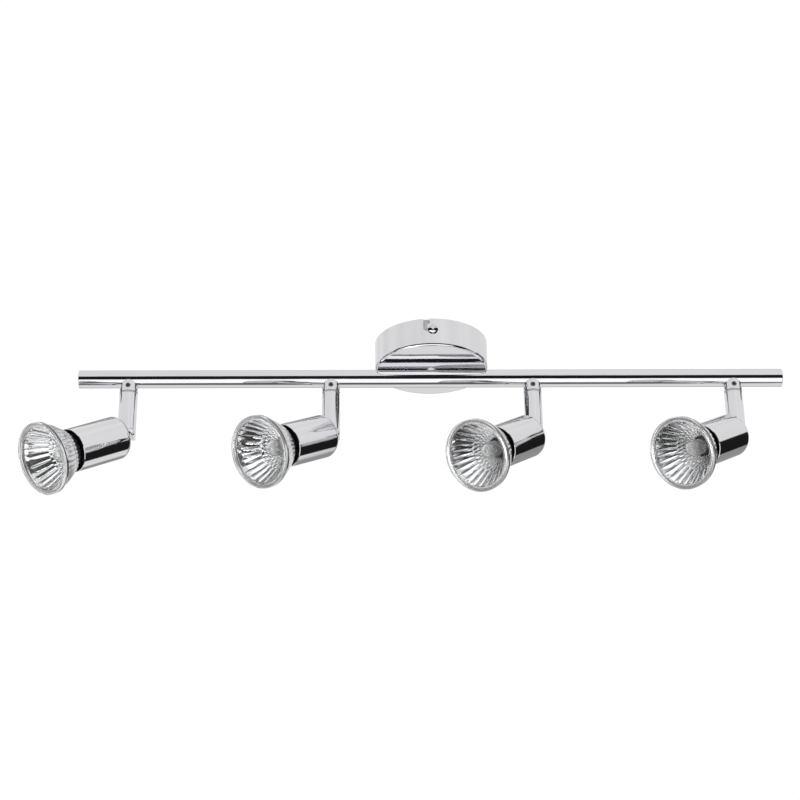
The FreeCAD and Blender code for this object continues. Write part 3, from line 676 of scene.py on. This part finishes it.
def reflector(spot, sizes, coating, ribbed, cement):
    """Pressed glass bowl: a fluted mirror inside, ribs outside."""
    neck_back, front, outer = spot.extent("lamp_reflector")
    base_front = spot.extent("lamp_base")[1]
    rim_back = front - sizes.rim
    bowl_rim = outer - sizes.rim_step
    wall = sizes.wall
    bore = sizes.neck - wall
    inside = bowl_curve((sizes.back - wall, base_front + wall), (bowl_rim - wall, rim_back), sizes, BOWL_ROWS)
    outside = bowl_curve((sizes.back, base_front), (bowl_rim, rim_back), sizes, RIB_ROWS)
    rows = [(bore, neck_back), (bore, base_front + wall)]
    inner_first = len(rows)
    rows += inside
    mirror_end = len(rows)
    rows.append((bowl_rim - wall, front))
    seam_first = len(rows)
    rows += [(outer - sizes.seam_edge, front), (outer, front - sizes.seam_edge), (outer, front - sizes.seam)]
    seam_end = len(rows) - 1
    rows.append((outer, rim_back))
    outer_first = len(rows)
    rows += outside[::-1] + [(sizes.neck, base_front), (sizes.neck, neck_back), (bore, neck_back)]
    shape = BowlShape(sizes, inner_first, outer_first)
    points, faces, owners = turned_mesh(rows, FLUTE_POINTS * sizes.flutes, shape)
    shades = [COATING if owner < mirror_end else RIBBED for owner in owners]
    shades = [CEMENT if seam_first <= owner < seam_end else shade for owner, shade in zip(owners, shades)]
    make_piece(spot.node("reflector_bowl"), points, faces, (coating, ribbed, cement), spot.place, spot.lamp,
               (spot.node("lamp_reflector"),), shades, FACET_CREASE)


def front_glass(spot, sizes, ring_glass, pane_glass):
    """Pane with a thick rounded ring, its face slightly domed."""
    back, front, outer = spot.extent("lamp_glass")
    edge = sizes.edge
    back_edge = 0.25 * edge
    pane = outer - sizes.ring
    rows = [(0.0, back), (pane, back), (outer - back_edge, back), (outer, back + back_edge)]
    rows += round_corner((outer - edge, front - edge), edge, 0, 90, EDGE_ROWS)
    rows += round_corner((pane + edge, front - edge), edge, 90, 180, EDGE_ROWS)
    pane_first = len(rows)
    sphere = (pane * pane + sizes.dome * sizes.dome) / (2 * sizes.dome)
    for step in range(PANE_ROWS + 1):
        radius = pane * (1 - step / PANE_ROWS)
        rise = math.sqrt(sphere * sphere - radius * radius) - (sphere - sizes.dome)
        rows.append((radius, front - sizes.recess + rise))
    points, faces, owners = turned_mesh(rows, GLASS_POINTS)
    shades = [PANE if owner == 0 or owner >= pane_first else RING for owner in owners]
    make_piece(spot.node("front_glass"), points, faces, (ring_glass, pane_glass), spot.place, spot.lamp,
               (spot.node("lamp_glass"),), shades)


def capsule(spot, sizes, quartz):
    """Halogen capsule: pinched foot, round body, and a small nipple on the tip."""
    back, front, bulb = spot.extent("lamp_capsule")
    stem = sizes.foot * bulb
    foot = back + sizes.foot_along * (front - back)
    nipple = sizes.nipple * bulb
    centre = (0.0, front - sizes.nipple_rise - bulb)
    shoulder = (bulb - SHOULDER_MIDDLE[0], foot + SHOULDER_MIDDLE[1])
    rows = [(0.0, back), (stem, back)]
    rows += arc_rows((stem, foot), shoulder, (bulb, foot + SHOULDER_L), EDGE_ROWS)
    rows += round_corner(centre, bulb, 0, NIPPLE_FROM, BULB_ROWS)
    rows += [(nipple, front - NIPPLE_EDGE), (0.6 * nipple, front), (0.0, front)]
    bore = bulb - sizes.quartz
    floor = foot + sizes.quartz
    cavity_rows = [(0.0, floor), (0.6 * bore, floor), (bore, foot + CAVITY_SHOULDER_L)]
    cavity_rows += round_corner(centre, bore, 0, 90, BULB_ROWS)[:-1] + [(0.0, centre[1] + bore)]

    def pinch(_, turn, radius, z):
        flat = max(0.0, min(1.0, (foot - z) / PINCH_FADE))
        return radius * (1 - sizes.pinch * flat * math.sin(turn) ** 2), z

    points, faces, _ = turned_mesh(rows, CAPSULE_POINTS, pinch)
    more, cavity, _ = turned_mesh(cavity_rows, CAPSULE_POINTS, first_point=len(points))
    faces += [face[::-1] for face in cavity]
    make_piece(spot.node("quartz_capsule"), points + more, faces, (quartz,), spot.place, spot.lamp,
               (spot.node("lamp_capsule"),), crease=FOOT_CREASE)


def filament(spot, sizes, tungsten):
    """Coiled filament standing in the capsule on two bent wires."""
    back, front, bulb = spot.extent("lamp_capsule")
    low = back + sizes.coil_low * (front - back)
    high = back + sizes.coil_high * (front - back)
    steps = COIL_POINTS * sizes.coil_turns
    coil = []
    for step in range(steps + 1):
        turn = FULL_TURN * sizes.coil_turns * step / steps
        z = low + (high - low) * step / steps
        coil.append(Vector((sizes.coil * math.cos(turn), sizes.coil * math.sin(turn), z)))
    points, faces = tube_mesh(coil, sizes.wire)
    apart = sizes.legs * bulb
    foot = back + LEG_START
    corner = Vector((-0.7 * apart, 0, high + 0.875 * LEG_BEND))
    short_leg = [Vector((apart, 0, foot)), Vector((apart, 0, low - LEG_BEND)), coil[0]]
    long_leg = [Vector((-apart, 0, foot)), Vector((-apart, 0, high)), corner,
                Vector((0, 0, high + LEG_BEND)), coil[-1]]
    for leg in (short_leg, long_leg):
        more, sides = tube_mesh(leg, sizes.leg, first_point=len(points))
        points += more
        faces += sides
    make_piece(spot.node("filament"), points, faces, (tungsten,), spot.place, spot.lamp)


# ---- the studio as the chrome sees it ---------------------------------------------------
# Heights are degrees above the level, and sides are degrees away from straight in front.
# A stretch is (low, high), and a band is (low, high, softness).
FRONT_END = (55.0, 95.0)
LEFT = (0.12, 0.3)
RIGHT_SIDE = (93.0, 100.0)
RIGHT = (0.0, 0.1)
FAR_RIGHT = (0.25, 0.3)
BACK_START = (128.0, 133.0)
GAP_EDGE = (-1.5, 1.5)
GAP_TOP = -8.0
GAP_TOP_FRONT = 22.0    # how much higher it is in front
GAP_TOP_RIGHT = 25.0
GAP_LOW = -30.0
GAP_LOW_FRONT = 3.0
TABLE = (-73.0, -27.0, 2.0)
SHEET = (-72.0, -27.0, 3.0)
SHEET_SIDE = (29.0, 80.0, 3.0)
PANEL = (-54.0, -24.0, 3.0)
PANEL_SIDE = (48.0, 82.0, 2.0)
SLATS = (-60.0, -34.0, 3.0)
SLAT_SIDES = ((36.0, 47.0, 1.5), (62.0, 72.0, 1.5))
BEHIND = (-14.0, 12.0, 3.0)
BEAM = (44.0, 56.0, 2.0)
BEAM_START = (145.0, 158.0)
BELOW = (-77.0, -73.0)
FOLD_STRETCH = (1.0, 1.0, 0.15)
BACKDROP_LIGHT = 1.02   # what the camera itself sees


# ---- operators -----------------------------------------------------------------------
FLOOR_REACH = 30.0
CUP_SKIN = 0.5 * MM     # less than this far in from the outside, the cup is chrome


def paint(node, material):
    """Gives a CAD node its finish."""
    piece = frame["nodes"][node]
    for slot in piece.material_slots:
        slot.material = material


class SPOTBAR_OT_studio(bpy.types.Operator):
    """Make the plain floor, the soft studio light and the camera"""
    bl_idname = "spotbar.studio"
    bl_label = "Studio"

    def execute(self, context):
        studio = context.scene.spotbar_studio
        self.make_floor(studio)
        self.make_light(context)
        self.make_camera(context, studio)
        context.scene.view_settings.view_transform = "Standard"
        return {"FINISHED"}

    def make_floor(self, studio):
        material, nodes = finish("floor")
        marks = nodes.noise(nodes.place(), scale=3.0, detail=3.0)
        shade = nodes.blend(marks, scaled(studio.floor, 0.985), studio.floor)
        nodes.surface(Base_Color=shade, Roughness=0.7)
        mesh = bpy.data.meshes.new("floor")
        signs = ((-1, -1), (1, -1), (1, 1), (-1, 1))
        corners = [(x * FLOOR_REACH, y * FLOOR_REACH, -studio.floor_drop) for x, y in signs]
        mesh.from_pydata(corners, [], [(0, 1, 2, 3)])
        mesh.materials.append(material)
        floor = bpy.data.objects.new("floor", mesh)
        bpy.context.scene.collection.objects.link(floor)
        floor.visible_glossy = False
        floor.visible_transmission = False

    def make_light(self, context):
        world = bpy.data.worlds.new("studio")
        context.scene.world = world
        world.use_nodes = True
        nodes = Nodes(world.node_tree)
        direction = nodes.add("ShaderNodeTexCoord", output="Generated")
        x, y, z = nodes.split(direction)
        height = z.math("ARCSINE").math("DEGREES")
        side = abs(x.math("ARCTAN2", 0 - y)).math("DEGREES")
        front = 1 - nodes.ease(side, *FRONT_END)
        far_right = nodes.ease(x, *FAR_RIGHT)
        back = nodes.ease(side, *BACK_START)
        # the dark gap between the white tent and the table: wide in front, low on the right
        right = nodes.ease(side, *RIGHT_SIDE) * nodes.ease(x, *RIGHT)
        top = GAP_TOP + GAP_TOP_FRONT * front + GAP_TOP_RIGHT * right
        low = GAP_LOW + GAP_LOW_FRONT * front
        gap = nodes.ease(height - low, *GAP_EDGE) * (1 - nodes.ease(height - top, *GAP_EDGE)) * (1 - back)
        table = nodes.band(height, *TABLE) * front
        # a bright sheet on the left, below the gap, with dark slats in it, and a dark panel on the right
        sheet = nodes.ease(0 - x, *LEFT) * nodes.band(side, *SHEET_SIDE)
        lit = sheet * nodes.band(height, *SHEET)
        slats = sum(nodes.band(side, *slat) for slat in SLAT_SIDES) * nodes.band(height, *SLATS)
        panel = far_right * nodes.band(side, *PANEL_SIDE) * nodes.band(height, *PANEL) + sheet * slats
        # grey behind the fixture, and a beam across the ceiling behind it
        behind = back * nodes.band(height, *BEHIND)
        beam = nodes.ease(side, *BEAM_START) * nodes.band(height, *BEAM)
        below = 1 - nodes.ease(height, *BELOW)
        folds = nodes.noise(nodes.stretch(direction, FOLD_STRETCH), scale=3.2, detail=1.0) - NOISE_MIDDLE
        light = 0.79 + 0.4 * table + 1.35 * lit - 0.68 * below + 0.2 * folds
        light = light * (1 - 0.985 * gap) * (1 - 0.97 * panel) * (1 - 0.62 * behind) * (1 - 0.8 * beam)
        seen = nodes.add("ShaderNodeLightPath", output="Is Camera Ray")
        strength = light + seen * (BACKDROP_LIGHT - light)
        sky = nodes.add("ShaderNodeBackground", sockets={"Color": (1.0, 1.0, 1.0, 1.0), "Strength": strength})
        nodes.add("ShaderNodeOutputWorld", sockets={"Surface": sky})
        self.softbox("overhead", (0.0, -0.3, 2.2), 2.5, 40.0)
        self.softbox("front_fill", (-1.0, -1.3, -0.8), 1.2, 24.0)

    def softbox(self, name, place, size, power):
        light = bpy.data.lights.new(name, "AREA")
        light.shape = "SQUARE"
        light.size = size
        light.energy = power
        box = bpy.data.objects.new(name, light)
        bpy.context.scene.collection.objects.link(box)
        middle = (Vector(CAD_BOX[0]) + Vector(CAD_BOX[1])) / 2
        box.location = place
        box.rotation_euler = (middle - Vector(place)).to_track_quat("-Z", "Y").to_euler()
        box.visible_camera = False
        box.visible_glossy = False

    def make_camera(self, context, studio):
        forward = Vector((math.sin(studio.heading) * math.cos(studio.pitch),
                          math.cos(studio.heading) * math.cos(studio.pitch), math.sin(studio.pitch)))
        level = Vector((math.cos(studio.heading), -math.sin(studio.heading), 0))
        upright = level.cross(forward)
        right = math.cos(studio.roll) * level + math.sin(studio.roll) * upright
        up = math.cos(studio.roll) * upright - math.sin(studio.roll) * level
        camera = bpy.data.objects.new("camera", bpy.data.cameras.new("camera"))
        camera.data.lens = studio.lens
        turned = Matrix((right, up, -forward)).transposed()
        camera.matrix_world = Matrix.Translation(studio.camera) @ turned.to_4x4()
        context.scene.collection.objects.link(camera)
        context.scene.camera = camera


class SPOTBAR_OT_chrome(bpy.types.Operator):
    """Plate the canopy, the bar, the collars, the arms and the cups"""
    bl_idname = "spotbar.chrome"
    bl_label = "Chrome"

    def execute(self, context):
        looks = context.scene.spotbar_finishes
        drawn = chrome_finish(looks, "drawn_chrome", (0.04, 1.0, 1.0))
        spun = chrome_finish(looks, "spun_chrome")
        upright = chrome_finish(looks, "arm_chrome", (1.0, 1.0, 0.04))
        paint("bar_tube", drawn)
        for node in ("canopy", "canopy_screws", "bar_end_caps", "swivel_collars"):
            paint(node, spun)
        for spot in SPOTS:
            paint(spot.node("arm"), upright)
            for name in ("pivot_screw", "knuckle"):
                paint(spot.node(name), spun)
            back, _, radius = spot.extent("head_cup")
            paint(spot.node("head_cup"), cup_finish(looks, spot, radius - CUP_SKIN, back + CUP_SKIN))
        return {"FINISHED"}


class SPOTBAR_OT_fittings(bpy.types.Operator):
    """Finish the bracket, the screws, the studs and the terminal block"""
    bl_idname = "spotbar.fittings"
    bl_label = "Fittings"

    def execute(self, context):
        looks = context.scene.spotbar_finishes
        zinc = metal_finish("zinc_plate", looks.zinc, 0.28, (1.0, 0.05, 1.0))
        brass = metal_finish("turned_brass", looks.brass, 0.22, (1.0, 1.0, 0.05))
        nylon = moulded_finish("nylon", looks.nylon, 0.35, 0.1)
        for node in ("ceiling_bracket", "bar_anchors", "bar_screws", "swivel_washers"):
            paint(node, zinc)
        for spot in SPOTS:
            paint(spot.node("arm_bush"), zinc)
        for node in ("terminal_screws", "swivel_studs", "swivel_nuts"):
            paint(node, brass)
        for node in ("terminal_block", "wire_bush"):
            paint(node, nylon)
        paint("collar_grub_screws", metal_finish("black_steel", looks.black_steel, 0.3))
        paint("supply_leads", moulded_finish("lead_sleeve", looks.sleeve, 0.5, 0.0, 0.1))
        return {"FINISHED"}


class SPOTBAR_OT_ceramics(bpy.types.Operator):
    """Finish the lampholders, the lamp bases and their pins"""
    bl_idname = "spotbar.ceramics"
    bl_label = "Ceramics"

    def execute(self, context):
        looks = context.scene.spotbar_finishes
        steatite = ceramic_finish("steatite", looks.steatite, 0.6)
        ceramic = ceramic_finish("lamp_ceramic", looks.ceramic, 0.5)
        nickel = metal_finish("nickel", looks.nickel, 0.2)
        for spot in SPOTS:
            paint(spot.node("lampholder"), steatite)
            paint(spot.node("lamp_base"), ceramic)
            paint(spot.node("lamp_pins"), nickel)
        return {"FINISHED"}


class SPOTBAR_OT_reflectors(bpy.types.Operator):
    """Press the fluted reflectors"""
    bl_idname = "spotbar.reflectors"
    bl_label = "Reflectors"

    def execute(self, context):
        looks = context.scene.spotbar_finishes
        coating = mirror_finish(looks, context.scene.spotbar_lamps.flutes)
        ribbed = ribbed_glass_finish(looks, SPOTS[0].extent("lamp_base")[1])
        cement = moulded_finish("cement", looks.cement, 0.5)
        for spot in SPOTS:
            reflector(spot, context.scene.spotbar_lamps, coating, ribbed, cement)
        return {"FINISHED"}


class SPOTBAR_OT_front_glasses(bpy.types.Operator):
    """Close the reflectors with their front glasses"""
    bl_idname = "spotbar.front_glasses"
    bl_label = "Front Glasses"

    def execute(self, context):
        looks = context.scene.spotbar_finishes
        ring_glass = glass_finish(looks, "glass_ring", 0.84, 0.0)
        pane_glass = pane_finish(looks)
        for spot in SPOTS:
            front_glass(spot, context.scene.spotbar_lamps, ring_glass, pane_glass)
        return {"FINISHED"}


class SPOTBAR_OT_capsules(bpy.types.Operator):
    """Make the halogen capsules and their filaments"""
    bl_idname = "spotbar.capsules"
    bl_label = "Capsules"

    def execute(self, context):
        looks = context.scene.spotbar_finishes
        quartz = glass_finish(looks, "quartz", 0.82, 0.03)
        tungsten = metal_finish("tungsten", looks.tungsten, 0.3)
        for spot in SPOTS:
            capsule(spot, context.scene.spotbar_lamps, quartz)
            filament(spot, context.scene.spotbar_lamps, tungsten)
        return {"FINISHED"}


OPERATORS = (SPOTBAR_OT_studio, SPOTBAR_OT_chrome, SPOTBAR_OT_fittings, SPOTBAR_OT_ceramics,
             SPOTBAR_OT_reflectors, SPOTBAR_OT_front_glasses, SPOTBAR_OT_capsules)


class SPOTBAR_PT_panel(bpy.types.Panel):
    """The steps that make the spotlight bar"""
    bl_idname = "SPOTBAR_PT_panel"
    bl_label = "Spotlight Bar"
    bl_space_type = "VIEW_3D"
    bl_region_type = "UI"
    bl_category = "Spotlight Bar"

    def draw(self, context):
        for operator in OPERATORS:
            self.layout.operator(operator.bl_idname)


SETTINGS = {"spotbar_lamps": LampSizes, "spotbar_finishes": Finishes, "spotbar_studio": Studio}


def register():
    for kind in (*SETTINGS.values(), *OPERATORS, SPOTBAR_PT_panel):
        bpy.utils.register_class(kind)
    for name, kind in SETTINGS.items():
        setattr(bpy.types.Scene, name, PointerProperty(type=kind))


def unregister():
    for name in SETTINGS:
        delattr(bpy.types.Scene, name)
    for kind in reversed((*SETTINGS.values(), *OPERATORS, SPOTBAR_PT_panel)):
        bpy.utils.unregister_class(kind)


def main():
    register()
    for operator in OPERATORS:
        group, name = operator.bl_idname.split(".")
        getattr(getattr(bpy.ops, group), name)()


if __name__ == "__main__":
    main()
